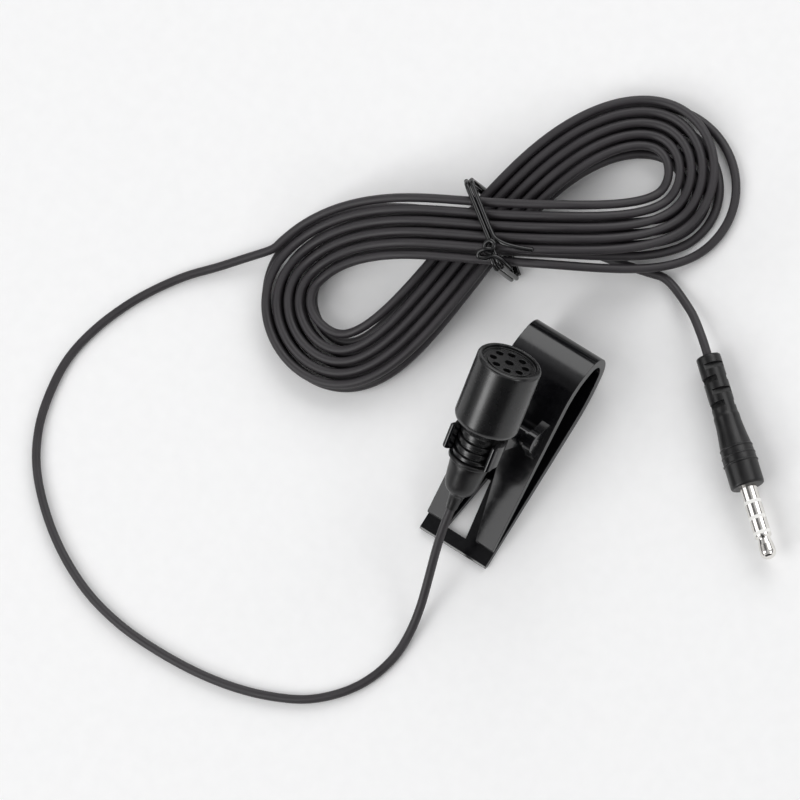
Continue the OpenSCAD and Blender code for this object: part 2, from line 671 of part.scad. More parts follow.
module tube_between(r_in, r_out, z1, z2) {
    translate([0, 0, z1]) difference() {
        cylinder(r = r_out, h = z2 - z1, $fn = fine);
        translate([0, 0, -1]) cylinder(r = r_in, h = z2 - z1 + 2, $fn = fine);
    }
}

bore_in = core_r + seat;
sleeve_z2 = mould_l + sleeve_l;
ring2_z1 = sleeve_z2 + insulator_l;
ring2_z2 = ring2_z1 + contact_l;
ring1_z1 = ring2_z2 + insulator_l;
ring1_z2 = ring1_z1 + contact_l;
tip_z1 = ring1_z2 + insulator_l;
tip_z2 = tip_z1 + tip_l;

module plug_collar() {
    color([0.2, 0.2, 0.2]) place_plug() tube_between(shank_r + seat, bush_r, collar_z, mould_l);
}

module plug_sleeve() {
    color([0.8, 0.8, 0.8]) place_plug() rotate_extrude($fn = fine) polygon([[bore_in, collar_z],
        [shank_r, collar_z], [shank_r, mould_l], [plug_r, mould_l], [plug_r, sleeve_z2],
        [bore_in, sleeve_z2]]);
}

module plug_ring_2() {
    color([0.8, 0.8, 0.8]) place_plug() tube_between(bore_in, plug_r, ring2_z1, ring2_z2);
}

module plug_ring_1() {
    color([0.8, 0.8, 0.8]) place_plug() tube_between(bore_in, plug_r, ring1_z1, ring1_z2);
}

module plug_insulator(z1) {
    color([0.92, 0.92, 0.9]) place_plug() tube_between(bore_in, plug_r, z1, z1 + insulator_l);
}

module plug_insulator_1() {
    plug_insulator(sleeve_z2);
}

module plug_insulator_2() {
    plug_insulator(ring2_z2);
}

module plug_insulator_3() {
    plug_insulator(ring1_z2);
}

module plug_core() {
    color([0.9, 0.9, 0.88]) place_plug() tube_between(rod_r + seat, core_r, collar_z, tip_z1);
}

module plug_rod() {
    color([0.75, 0.65, 0.35]) place_plug() translate([0, 0, collar_z])
        cylinder(r = rod_r, h = tip_z1 + 1 - collar_z, $fn = 32);
}

module plug_tip() {
    land = 0.35;
    neck = 1.3;
    shoulder = 1.66;
    nose_z = tip_l - 1.5;
    color([0.8, 0.8, 0.8]) place_plug() translate([0, 0, tip_z1]) difference() {
        rotate_extrude($fn = fine) polygon(concat(
            [[0, 0], [plug_r, 0], [plug_r, land], [neck, land + 0.4], [neck, land + 0.7],
                [shoulder - 0.15, land + 1.7], [shoulder, nose_z]],
            [for (a = [15:15:75]) [shoulder * cos(a), nose_z + (tip_l - nose_z) * sin(a)]], [[0, tip_l]]));
        translate([0, 0, -1]) cylinder(r = rod_r + seat, h = 2, $fn = 32);
    }
}

visor_clip();
hinge_pin();
holder_ring();
mic_housing();
grille_cap();
dust_screen();
capsule_gasket();
electret_can();
electret_ring();
diaphragm();
capsule_board();
solder_joints();
core_wires();
cord_stub();
cord_crimp();
rear_boot();
lead_mic_side();
cable_hank();
twist_tie();
lead_plug_side();
plug_overmould();
plug_collar();
plug_sleeve();
plug_ring_2();
plug_ring_1();
plug_tip();
plug_insulator_1();
plug_insulator_2();
plug_insulator_3();
plug_core();
plug_rod();
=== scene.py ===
"""Dresses the lavalier microphone: camera, cable and tie first, then clip, holder, head, boot and plug."""

import json
import math

import bmesh
import bpy
import numpy as np
from bpy.props import FloatProperty, FloatVectorProperty, IntProperty, PointerProperty
from mathutils import Matrix, Vector


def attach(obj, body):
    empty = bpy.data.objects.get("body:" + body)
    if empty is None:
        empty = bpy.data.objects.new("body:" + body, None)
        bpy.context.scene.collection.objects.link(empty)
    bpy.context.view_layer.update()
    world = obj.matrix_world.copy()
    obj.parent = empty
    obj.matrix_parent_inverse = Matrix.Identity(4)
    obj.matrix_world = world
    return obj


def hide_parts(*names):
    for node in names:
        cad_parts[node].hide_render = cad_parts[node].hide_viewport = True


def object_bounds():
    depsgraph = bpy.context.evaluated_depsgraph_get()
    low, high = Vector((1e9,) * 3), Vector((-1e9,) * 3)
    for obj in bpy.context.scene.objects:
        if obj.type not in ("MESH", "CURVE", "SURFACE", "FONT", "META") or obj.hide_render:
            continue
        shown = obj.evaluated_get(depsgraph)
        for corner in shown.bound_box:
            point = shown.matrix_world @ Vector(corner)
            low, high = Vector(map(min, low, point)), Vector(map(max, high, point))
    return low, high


bl_info = {
    "name": "Lavalier microphone",
    "version": (1, 0, 0),
    "blender": (4, 5, 0),
    "location": "View3D > Sidebar > Microphone",
    "description": "Builds the surfaces, finishes and studio of a clip-on lavalier microphone",
    "category": "Object",
}

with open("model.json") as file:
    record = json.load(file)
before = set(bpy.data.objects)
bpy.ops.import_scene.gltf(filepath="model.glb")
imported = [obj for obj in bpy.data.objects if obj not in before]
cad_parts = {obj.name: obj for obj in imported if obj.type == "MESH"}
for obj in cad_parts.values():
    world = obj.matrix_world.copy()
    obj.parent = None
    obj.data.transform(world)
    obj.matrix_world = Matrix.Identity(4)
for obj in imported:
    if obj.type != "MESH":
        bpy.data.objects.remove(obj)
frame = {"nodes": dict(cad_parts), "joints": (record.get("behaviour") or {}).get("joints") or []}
CAD = frame["nodes"]
CAD_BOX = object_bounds()
MM = 0.001


# ---- colour and nodes --------------------------------------------------------------------
MIDDLE = (0.3, 0.7)     # the span in which most of a noise texture's values lie


def linear(code):
    """An sRGB hex colour as linear red, green, blue and alpha."""
    s = np.array([int(code[i:i + 2], 16) / 255 for i in (1, 3, 5)])
    lin = np.where(s <= 0.04045, s / 12.92, ((s + 0.055) / 1.055) ** 2.4)
    return (*lin.tolist(), 1.0)


def per(size_mm):
    """Texture scale at which a pattern has features of this size."""
    return 1 / (size_mm * MM)


def add(tree, kind, settings=None, **links):
    """Adds a node, sets its properties, sockets and colour stops, and links its inputs from
    (node, output)."""
    node = tree.nodes.new(kind)
    for name, value in (settings or {}).items():
        if name == "stops":
            for stop, (position, colour) in zip(node.color_ramp.elements, value):
                stop.position, stop.color = position, colour
        elif name in node.inputs.keys():
            node.inputs[name].default_value = value
        else:
            setattr(node, name, value)
    for name, (source, output) in links.items():
        tree.links.new(source.outputs[output], node.inputs[name.replace("_", " ")])
    return node


def blank(name, **shader):
    """A material with one Principled shader whose constant sockets are set here."""
    mat = bpy.data.materials.new(name)
    mat.use_nodes = True
    tree = mat.node_tree
    bsdf = tree.nodes["Principled BSDF"]
    for socket, value in shader.items():
        bsdf.inputs[socket.replace("_", " ")].default_value = value
    return mat, tree, bsdf


def finish(tree, bsdf, tones, rough, depth_mm, patch, grain, span=MIDDLE, rough_by=None):
    """Sets what shows of a finish: the colour goes between two tones, and the roughness between two
    values, as the patch texture rises, and the relief follows the grain texture."""
    stops = [(at, linear(tone)) for at, tone in zip(span, tones)]
    colour = add(tree, "ShaderNodeValToRGB", {"stops": stops}, Fac=(patch, "Fac"))
    sheen = add(tree, "ShaderNodeMapRange", {"From Min": MIDDLE[0], "From Max": MIDDLE[1],
                                             "To Min": rough[0], "To Max": rough[1]},
                Value=(rough_by or patch, "Fac"))
    relief = add(tree, "ShaderNodeBump", {"Strength": 1.0, "Distance": depth_mm * MM},
                 Height=(grain, "Fac"))
    tree.links.new(colour.outputs["Color"], bsdf.inputs["Base Color"])
    tree.links.new(sheen.outputs["Result"], bsdf.inputs["Roughness"])
    tree.links.new(relief.outputs["Normal"], bsdf.inputs["Normal"])


# ---- shapes ------------------------------------------------------------------------------
def shown(name, mesh, smooth_angle):
    """Puts a mesh in the scene, smooth except where faces meet at more than the angle."""
    obj = bpy.data.objects.new(name, mesh)
    bpy.context.scene.collection.objects.link(obj)
    mesh.shade_smooth()
    mesh.set_sharp_from_angle(angle=math.radians(smooth_angle))
    return obj


def close(mesh):
    """Merges doubles, closes open rims and turns the faces outwards."""
    bm = bmesh.new()
    bm.from_mesh(mesh)
    bmesh.ops.remove_doubles(bm, verts=bm.verts, dist=1e-6)
    bmesh.ops.dissolve_degenerate(bm, dist=1e-7, edges=bm.edges)
    bmesh.ops.holes_fill(bm, edges=[e for e in bm.edges if e.is_boundary])
    bmesh.ops.recalc_face_normals(bm, faces=bm.faces)
    bm.to_mesh(mesh)
    bm.free()


def grid_faces(rows, cols):
    """Quads of a grid of rows by cols whose last column joins its first."""
    row = np.arange(rows - 1)[:, None] * cols
    here = np.arange(cols)[None, :]
    there = (here + 1) % cols
    return np.stack([row + here, row + cols + here, row + cols + there, row + there], -1).reshape(-1, 4)


def round_surface(name, radius, height, place, smooth_angle):
    """A closed surface round a piece's own z axis, in millimetres: at each height and each angle of
    a grid, x is the radius times the angle's cosine and y the radius times its sine."""
    rows, turns = radius.shape
    theta = np.linspace(0, 2 * math.pi, turns, endpoint=False)
    points = np.stack([radius * np.cos(theta), radius * np.sin(theta),
                       np.repeat(height[:, None], turns, 1)], -1).reshape(-1, 3) * MM
    carry = np.array(place)
    points = points @ carry[:3, :3].T + carry[:3, 3]
    mesh = bpy.data.meshes.new(name)
    mesh.from_pydata(points.tolist(), [], grid_faces(rows, turns).tolist())
    mesh.validate()
    close(mesh)
    return shown(name, mesh, smooth_angle)


def corners(points, radii):
    """Rounds a line's inner points. Each gives way to a parabola that touches both sides where an
    arc of its radius would, and at most just short of their middles."""
    p = np.asarray(points, float)
    corner = p[1:-1]
    back, ahead = p[:-2] - corner, p[2:] - corner
    back_l, ahead_l = (np.linalg.norm(side, axis=1, keepdims=True) for side in (back, ahead))
    back, ahead = back / back_l, ahead / ahead_l
    half = np.arccos(np.sum(back * ahead, 1, keepdims=True)) / 2
    most = 0.49 * np.minimum(back_l, ahead_l)
    cut = np.minimum(np.array(radii)[:, None] / np.tan(half), most)
    t = np.linspace(0, 1, 6)[:, None]
    start, middle, end = ((corner + k)[:, None, :] for k in (back * cut, 0, ahead * cut))
    bends = (1 - t) ** 2 * start + 2 * t * (1 - t) * middle + t ** 2 * end
    return np.vstack([p[:1], bends.reshape(-1, 2), p[-1:]])


def rounded_copy(node, radius):
    """A copy of a CAD node, merged, its flat faces made whole, its sharp edges rolled to a radius."""
    doubles, level, sharp = 2e-6, math.radians(0.4), math.radians(28)
    mesh = CAD[node].data.copy()
    bm = bmesh.new()
    bm.from_mesh(mesh)
    bmesh.ops.remove_doubles(bm, verts=bm.verts, dist=doubles)
    bmesh.ops.dissolve_limit(bm, angle_limit=level, verts=bm.verts, edges=bm.edges)
    bm.to_mesh(mesh)
    bm.free()
    mesh.materials.clear()
    if mesh.has_custom_normals:
        mesh.attributes.remove(mesh.attributes["custom_normal"])
    obj = shown(node + "_moulding", mesh, smooth_angle=180)
    roll = obj.modifiers.new("edge_radius", "BEVEL")
    roll.width, roll.segments = radius, 3
    roll.limit_method, roll.angle_limit = "ANGLE", sharp
    roll.harden_normals, roll.use_clamp_overlap = True, True
    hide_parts(node)
    return obj


def frames_along(path):
    """Unit tangents and a side vector at each point, the side carried along with the least turn."""
    t = np.gradient(path, axis=0)
    t /= np.linalg.norm(t, axis=1)[:, None]
    side = np.empty_like(t)
    s = np.cross([0, 0, 1.0], t[0])
    for i, ti in enumerate(t):  # one step for each ring, since each side comes from the last
        s = s - (s @ ti) * ti
        s /= np.linalg.norm(s)
        side[i] = s
    return t, side


def tube(name, path, radius, sides, domed):
    """A round tube: at each point of the path a ring of that radius, square to it. A domed end has
    three rings more, on a dome half a radius high. The UV map is metres along and metres round."""
    t, s = frames_along(path)
    radii = np.full(len(path), radius)
    if domed:
        dome = np.radians([30, 60, 88])
        out = 0.5 * radius * np.sin(dome)[:, None]
        path = np.vstack([path[0] - out[::-1] * t[0], path, path[-1] + out * t[-1]])
        radii = np.concatenate([radius * np.cos(dome[::-1]), radii, radius * np.cos(dome)])
        t, s = (np.vstack([v[[0] * 3], v, v[[-1] * 3]]) for v in (t, s))
    turn = np.linspace(0, 2 * math.pi, sides, endpoint=False)[None, :, None]
    ring = np.cos(turn) * s[:, None, :] + np.sin(turn) * np.cross(t, s)[:, None, :]
    points = path[:, None, :] + radii[:, None, None] * ring
    quads = grid_faces(len(path), sides)[:, ::-1]
    last = (len(path) - 1) * sides
    ends = [list(range(sides)), list(range(last, last + sides))[::-1]]
    mesh = bpy.data.meshes.new(name)
    mesh.from_pydata(points.reshape(-1, 3).tolist(), [], quads.tolist() + ends)
    loops = np.empty(len(mesh.loops), np.int32)
    mesh.loops.foreach_get("vertex_index", loops)
    row, col = np.divmod(loops, sides)
    # where a quad spans the seam, its corners on the first side lie a whole turn on
    seam = col[:4 * len(quads)].reshape(-1, 4)
    seam[(seam == 0) & (seam.max(1) == sides - 1)[:, None]] = sides
    uv = np.stack([run_along(path)[row], 2 * math.pi * radius * col / sides], -1)
    layer = mesh.uv_layers.new(name="along")
    layer.data.foreach_set("uv", uv.astype(np.float32).ravel())
    close(mesh)
    return shown(name, mesh, smooth_angle=60)


def catmull(points, per_span):
    """A smooth curve through points: between each pair, the cubic whose slopes are half the chord
    between the neighbours."""
    p = np.asarray(points, float)
    before, after = np.vstack([p[:1], p[:-2]]), np.vstack([p[2:], p[-1:]])
    a, b, c, d = (q[:, None, :] for q in (before, p[:-1], p[1:], after))
    t = np.linspace(0, 1, per_span, endpoint=False)[None, :, None]
    q = 0.5 * (2 * b + (c - a) * t + (2 * a - 5 * b + 4 * c - d) * t ** 2
               + (3 * b - a - 3 * c + d) * t ** 3)
    return np.vstack([q.reshape(-1, p.shape[1]), p[-1:]])


def run_along(path):
    """How far along its line each point lies."""
    return np.concatenate([[0], np.cumsum(np.linalg.norm(np.diff(path, axis=0), axis=1))])


def evenly(path, step):
    """The same line with points at even spacing."""
    run = run_along(path)
    at = np.linspace(0, run[-1], int(round(run[-1] / step)) + 1)
    return np.stack([np.interp(at, run, axis) for axis in path.T], -1)


def smoothstep(t):
    """0 to 1 with level ends: the square of t times three less twice t."""
    k = np.clip(t, 0, 1)
    return k * k * (3 - 2 * k)


# ---- places, as in the part's source -----------------------------------------------------
# Lengths are in millimetres where nothing else is said, and angles named _A in degrees
SWIVEL = next(joint for joint in frame["joints"] if joint["name"] == "neck_swivel")
MIC_AT = SWIVEL["pos_m"]                                                     # in metres
MIC_PITCH = math.atan2(SWIVEL["axis"][2], SWIVEL["axis"][1])
MIC = Matrix.Translation(MIC_AT) @ Matrix.Rotation(MIC_PITCH - math.pi / 2, 4, "X")
BOOT_END = -15.7        # where the cable leaves the boot, along the microphone's axis
CABLE_D = 1.8
MOULD_R = 3.45          # the overmould's grip at its front
BEAD_R = 0.28           # the bead of each grip rib
BEAD_SINK = 0.12        # how far each bead's middle lies inside the grip's surface
PLUG_AT = [k * MM for k in (25.05, 35.5, MOULD_R + BEAD_R - BEAD_SINK)]      # in metres
PLUG_TURN = math.radians(-40)
PLUG = (Matrix.Translation(PLUG_AT) @ Matrix.Rotation(PLUG_TURN, 4, "Z")
        @ Matrix.Rotation(math.pi / 2, 4, "Y"))
CONTACTS = ("plug_sleeve", "plug_ring_2", "plug_ring_1", "plug_tip")
INSULATORS = ("plug_insulator_1", "plug_insulator_2", "plug_insulator_3")

# The free loop, as x, y and the height above the ground at which the cable lies
FREE_LOOP = np.array([
    [0.3, -26.5, 8.7], [0.9, -32, 5.1], [1.6, -37.5, 2.2], [2, -43, 0.5], [1.8, -48.5, 0.08],
    [0, -54.5, 0], [-3.5, -60, 0], [-9, -65, 0], [-16, -68.5, 0], [-24, -71, 0], [-33, -72.5, 0],
    [-43, -73, 0], [-52, -72.5, 0], [-61, -70.5, 0], [-70, -66.5, 0], [-78, -61, 0],
    [-84.5, -54.5, 0], [-88.5, -47.5, 0], [-90.5, -40, 0], [-91, -32.5, 0], [-89.5, -25, 0],
    [-86.5, -17.5, 0], [-82.9, -11.3, 0.05], [-78.6, -5.6, 0.2], [-74, -1, 0.6],
    [-69.8, 3.4, 1.2]]) + [0, 0, CABLE_D / 2]
PLUG_LEAD = np.array([[10.5, 43.9, 1.2], [14.2, 42.5, 1.9], [17.9, 40.8, 2.7]])

# The hank is a figure of eight tied at its waist. It is wound in two layers: the upper one
# spirals from the microphone's lead across the band, drops a layer, and the lower one spirals
# back and leaves under the crossing. u runs along the hank, v across it.
HANK_AT = np.array([-27.2, 33.2])
HANK_TURN = math.radians(46.7)
LOBE_L = 44.4           # half length of the middle turn
FLAT_BOW = 8            # bow of the run that crosses on top
STEEP_BOW = 15.5        # bow of the run that crosses below
BOW_SKEW = 3            # how much fuller the first lobe is
SPREAD = 0.02           # how much the turns open out away from the waist
TURN_PITCH = CABLE_D + 0.5
LAYER_STEP = CABLE_D + 0.75
START_A = -60           # where the microphone's lead joins, and how far out
START_OFF = -5.7
PEAK_A = 1815           # where the spiral reverses
LEAVE_A = 3570          # where the lower end leaves its slot
LEAVE_BEND = 2          # how late it turns out of the band
END_A = 3641            # where the plug's lead joins, and how far out
END_OFF = 6.6
CROSS_A = 15            # half angle over which the crossing runs stay lifted
FALL_A = 64             # half angle at which they are down
EARLY_FALL = 4          # how much sooner the lower layer comes down
UNDER_A = 3540          # from here the lower end stays low, and runs out under the others
# Each lobe's shape, for the lobe towards +u and the lobe towards -u
BLUNT = np.array([0.015, -0.015])
LEAN = np.array([3.7, 3.8])
# How the lower layer's lobes lie beside the upper layer's: drawn in, and moved across
LOWER_A = 1800          # the crossing from which the turns follow the lower layer's lobes
TUCK = np.array([-0.5, 1])
SWAY = np.array([-3.7, 0.2])
# Three half turns stray from the band: the inmost of the upper layer, the outmost at each end
INNER_A = 1620
LAST_A = 3420
INNER_STRAY = 1
OUTER_STRAY = 1.1
ONE_SIDE = 2.6          # brings the stray that is kept to one side of a lobe to its full size

TIE_STRAND = 1.0        # diameter of the tie's wire
TIE_ROOM = 1.3          # height that it is given where it passes below the waist
TIE_PLAY = 0.3          # play between it and the cable
TIE_LIFT = TIE_ROOM + TIE_PLAY
TIE_U = 2               # where the tie stands along the hank
TIE_MID = 0.2           # where its middle lies across the hank
TIE_HALF = 9.55         # half the width that it spans


def waist(points):
    """Points given along the hank, across it and up, in millimetres, set in the frame in metres."""
    u, v, z = points.T
    c, s = math.cos(HANK_TURN), math.sin(HANK_TURN)
    return np.stack([HANK_AT[0] + u * c - v * s, HANK_AT[1] + u * s + v * c, z], -1) * MM


def figure_eight(deg):
    """A figure of eight: length times the sine of the angle, bow times the sine of twice the angle,
    each lobe blunted by the sine of three times it and leant by its sine's cube."""
    a = np.radians(deg)
    lobe = np.where(np.sin(a) > 0, 0, 1)
    low = np.where(deg > LOWER_A, np.sin(a) * np.abs(np.sin(a)), 0)
    w = (1 - np.cos(a)) / 2
    bow = FLAT_BOW + w * (STEEP_BOW - BOW_SKEW * np.sin(a) - FLAT_BOW)
    u = LOBE_L * (np.sin(a) + BLUNT[lobe] * np.sin(3 * a)) - TUCK[lobe] * low
    v = -bow * np.sin(2 * a) + LEAN[lobe] * np.sin(a) ** 3 + SWAY[lobe] * np.abs(low)
    return np.stack([u, v], -1)


def stray(deg):
    """How far a few half turns lie out of the band, growing with the square of the sine."""
    a = np.radians(deg)
    inner = (deg > INNER_A) & (deg <= LOWER_A)
    outer = (deg > LOWER_A) & (deg < LOWER_A + 180)
    last = (deg > LAST_A) & (deg < LAST_A + 180)
    return np.sin(a) ** 2 * (inner * INNER_STRAY * ONE_SIDE * np.maximum(0, -np.cos(a))
                             + outer * OUTER_STRAY
                             - last * OUTER_STRAY * ONE_SIDE * np.maximum(0, np.cos(a)))


def near(deg, target):
    """1 over a crossing and 0 away from it, with a smooth fall between."""
    off = np.abs((deg - target + 180) % 360 - 180)
    fall = FALL_A - EARLY_FALL * (deg > LOWER_A)
    return smoothstep((fall - off) / (fall - CROSS_A))


def hank_line(deg):
    """The hank's centreline: the figure of eight moved outwards turn by turn and back in a lower
    layer, lifted in a smooth hump where its runs cross."""
    wound = np.where(deg < PEAK_A, deg, 2 * PEAK_A - deg)
    steady, at_leave = (START_OFF + TURN_PITCH * (a - START_A) / 360
                        for a in (wound, 2 * PEAK_A - LEAVE_A))
    late = np.clip((deg - LEAVE_A) / (END_A - LEAVE_A), 0, 1) ** LEAVE_BEND
    away = np.where(deg < LEAVE_A, steady, at_leave + (END_OFF - at_leave) * late)
    # it drops a layer in the half turn about the peak
    upper = 1 - smoothstep((deg - PEAK_A + 90) / 180)
    wound_lift = (LAYER_STEP * upper + near(deg, 180) * (TIE_LIFT + LAYER_STEP)
                  + near(deg, 0) * (TIE_LIFT + 3 * LAYER_STEP))
    lift = np.where(deg > UNDER_A, TIE_LIFT * near(deg, 0), wound_lift)
    d = figure_eight(deg + 1) - figure_eight(deg - 1)
    out = np.stack([d[:, 1], -d[:, 0]], -1) / np.linalg.norm(d, axis=1)[:, None]
    away = away * (1 + SPREAD * np.sin(np.radians(deg)) ** 2) + stray(deg)
    return waist(np.column_stack([figure_eight(deg) + away[:, None] * out, CABLE_D / 2 + lift]))


def cable_line():
    """The whole cable's centreline, from the boot round the free loop, through the hank, to the
    plug. Away from its ends each point is a weighted mean of its neighbours, which eases the joins."""
    samples, per_span, fine, step, reach = 2400, 12, 0.3 * MM, 0.9 * MM, 5
    run = hank_line(np.linspace(START_A, END_A, samples))
    d = CABLE_D * MM
    into, out = (v / np.linalg.norm(v) for v in (run[1] - run[0], run[-1] - run[-2]))
    axis = np.array(MIC.to_3x3() @ Vector((0, 0, 1)))
    boot_end = np.array(MIC @ Vector((0, 0, BOOT_END * MM)))
    hank_in, hank_out = run[0] - d * into, run[-1] + d * out
    tip = np.array([math.cos(PLUG_TURN), math.sin(PLUG_TURN), 0])
    plug_at = np.array(PLUG_AT)
    first = catmull(np.vstack([boot_end, boot_end - 3 * d * axis, FREE_LOOP * MM,
                               hank_in - 1.2 * d * into, hank_in, run[0]]), per_span)
    last = catmull(np.vstack([run[-1], hank_out, hank_out + d * out, PLUG_LEAD * MM,
                              plug_at - 2 * d * tip, plug_at]), per_span)
    line = evenly(np.vstack([first[:-1], run, last[1:]]), fine)
    weights = np.hanning(2 * reach + 1)
    weights /= weights.sum()
    eased = np.stack([np.convolve(np.pad(k, reach, "edge"), weights, "valid") for k in line.T], -1)
    for end in (slice(None, reach + 1), slice(-reach - 1, None)):
        eased[end] = line[end]
    return evenly(eased, step)


# ---- finishes ----------------------------------------------------------------------------
def moulded(name, tones, rough, patch_mm, grain_mm, depth_mm, grain_detail=2.0, **shader):
    """A plain moulded, drawn or pressed finish: two close tones in patches, with a grain of its own."""
    mat, tree, bsdf = blank(name, **shader)
    at = add(tree, "ShaderNodeTexCoord")
    patch = add(tree, "ShaderNodeTexNoise", {"Scale": per(patch_mm), "Detail": 4.0},
                Vector=(at, "Object"))
    grain = add(tree, "ShaderNodeTexNoise", {"Scale": per(grain_mm), "Detail": grain_detail},
                Vector=(at, "Object"))
    finish(tree, bsdf, tones, rough, depth_mm, patch, grain)
    return mat


def satin_abs():
    """ABS, moulded in a spark-eroded tool: a soft, broad sheen from a fine even grain."""
    # handling marks are about 4 mm across; grain of 0.08 mm is too fine to show, so it is drawn
    # at 0.4 mm
    return moulded("ABS_moulded_satin", ("#0f0f10", "#131314"), rough=(0.25, 0.29), patch_mm=4,
                   grain_mm=0.4, depth_mm=0.0015, grain_detail=1.0, IOR=1.53)


def soft_pvc():
    """Plasticised PVC, moulded: dark, a little greasy, with a soft wide light."""
    # matt tool grain of 0.1 mm, drawn at 0.3 mm so that it shows
    return moulded("PVC_soft_moulded", ("#0e0e0f", "#141314"), rough=(0.3, 0.4), patch_mm=2.5,
                   grain_mm=0.3, depth_mm=0.006, IOR=1.45)


def gloss_nylon():
    """Nylon, moulded in a polished tool: sharp lights on the edges, faint sink waves on the flats."""
    mat, tree, bsdf = blank("nylon_moulded_gloss", IOR=1.53)
    at = add(tree, "ShaderNodeTexCoord")
    # sink waves are about 7 mm across, and the scuffs from handling 1.2 mm
    sink = add(tree, "ShaderNodeTexNoise", {"Scale": per(7), "Detail": 1.0}, Vector=(at, "Object"))
    scuff = add(tree, "ShaderNodeTexNoise", {"Scale": per(1.2), "Detail": 6.0, "Roughness": 0.65},
                Vector=(at, "Object"))
    finish(tree, bsdf, ("#08080a", "#0d0d10"), rough=(0.12, 0.2), depth_mm=0.012, patch=scuff,
           grain=sink, span=(0.35, 0.75))
    return mat


def pvc_jacket():
    """PVC cable jacket, extruded: faint die lines run along it, and each turn keeps a soft stripe
    of light."""
    mat, tree, bsdf = blank("PVC_jacket_extruded", IOR=1.53)
    uv = add(tree, "ShaderNodeUVMap", {"uv_map": "along"})
    # die lines about 0.35 mm apart round the cable, each some 30 mm long
    lay = add(tree, "ShaderNodeMapping", {"Scale": (per(30), per(0.35), 1.0)}, Vector=(uv, "UV"))
    lines = add(tree, "ShaderNodeTexNoise", {"Scale": 1.0, "Detail": 2.0}, Vector=(lay, "Vector"))
    # slip powder and handling, in patches about 6 mm long
    patch = add(tree, "ShaderNodeTexNoise", {"Scale": per(6), "Detail": 4.0}, Vector=(uv, "UV"))
    finish(tree, bsdf, ("#262326", "#302d30"), rough=(0.46, 0.58), depth_mm=0.012, patch=patch,
           grain=lines)
    return mat


def tie_coating():
    """Plastic-coated wire, extruded and glossy, with small dents from twisting."""
    mat, tree, bsdf = blank("PVC_coated_wire", IOR=1.53)
    at = add(tree, "ShaderNodeTexCoord")
    # dents about 1.5 mm apart
    dents = add(tree, "ShaderNodeTexNoise", {"Scale": per(1.5), "Detail": 2.0}, Vector=(at, "Object"))
    finish(tree, bsdf, ("#0b0b0c", "#121213"), rough=(0.08, 0.14), depth_mm=0.05, patch=dents,
           grain=dents)
    return mat


def about_axis(tree, at, place):
    """Object coordinates turned so that z runs along the axis of the pieces in that place."""
    turn = place.to_3x3().inverted().to_euler()
    return add(tree, "ShaderNodeMapping", {"Rotation": tuple(turn)}, Vector=(at, "Object"))


def nickel_plate():
    """Brass, turned and nickel plated: a warm mirror, drawn out across the rings that the tool left."""
    mat, tree, bsdf = blank("brass_turned_nickel_plated", Metallic=1.0)
    at = add(tree, "ShaderNodeTexCoord")
    # rings 0.1 mm apart, drawn at 0.25 mm, and the same all round
    lay = add(tree, "ShaderNodeMapping", {"Scale": (per(40), per(40), per(0.25))},
              Vector=(about_axis(tree, at, PLUG), "Vector"))
    rings = add(tree, "ShaderNodeTexNoise", {"Scale": 1.0, "Detail": 2.0}, Vector=(lay, "Vector"))
    # a haze from fingers, in patches about 2 mm across
    haze = add(tree, "ShaderNodeTexNoise", {"Scale": per(2), "Detail": 4.0}, Vector=(at, "Object"))
    finish(tree, bsdf, ("#e0ddd8", "#efede9"), rough=(0.1, 0.2), depth_mm=0.003, patch=haze,
           grain=rings, rough_by=rings)
    return mat


def woven_screen():
    """Black polyester cloth: round threads 0.15 mm apart, drawn at 0.3 mm, over and under."""
    mat, tree, bsdf = blank("polyester_cloth_woven", Roughness=0.85, Sheen_Weight=0.3)
    at = add(tree, "ShaderNodeTexCoord")
    threads = {"Scale": per(0.3), "Color1": linear("#101011"), "Color2": linear("#262627")}
    weave = add(tree, "ShaderNodeTexChecker", threads, Vector=(about_axis(tree, at, MIC), "Vector"))
    relief = add(tree, "ShaderNodeBump", {"Strength": 1.0, "Distance": 0.05 * MM},
                 Height=(weave, "Fac"))
    tree.links.new(weave.outputs["Color"], bsdf.inputs["Base Color"])
    tree.links.new(relief.outputs["Normal"], bsdf.inputs["Normal"])
    return mat


# Finishes inside the head: node, material, tones, roughness, then patch, grain and its depth in mm
METAL = {"Metallic": 1.0}
INSIDE = (
    # matt, with a dull bloom
    ("capsule_gasket", "rubber_moulded", ("#1d1d1d", "#262626"), (0.6, 0.75), (2, 0.3, 0.02),
     {"IOR": 1.52}),
    # pale and bright, a little brushed by the die
    ("electret_can", "aluminium_drawn", ("#c6c8ca", "#d8dadb"), (0.25, 0.4), (2, 0.2, 0.004), METAL),
    # smooth and cream-coloured
    ("electret_ring", "polycarbonate_moulded", ("#c9c3a8", "#d8d3bd"), (0.4, 0.5), (2, 0.3, 0.005),
     {"IOR": 1.58}),
    # a thin gold-coloured mirror
    ("diaphragm", "film_metallised", ("#b8a77c", "#cdbf99"), (0.2, 0.3), (2, 0.4, 0.01), METAL),
    # green lacquer over the weave of the glass
    ("capsule_board", "glass_epoxy_laminate", ("#12472a", "#1b5a37"), (0.35, 0.45),
     (1.5, 0.25, 0.01), {"IOR": 1.55}),
    # grey and bright, uneven where it set
    ("solder_joints", "solder_reflowed", ("#a9aaab", "#bfc0c0"), (0.2, 0.35), (0.8, 0.3, 0.02),
     METAL),
    # a clear red with a dull shine
    ("core_wires", "PVC_wire_insulation", ("#8c1c16", "#a3261d"), (0.4, 0.5), (1.5, 0.2, 0.004),
     {"IOR": 1.53}),
    # yellow metal, dulled by the press
    ("cord_crimp", "brass_crimp_pressed", ("#a98d4f", "#c2a665"), (0.3, 0.42), (1.5, 0.2, 0.006),
     METAL),
)


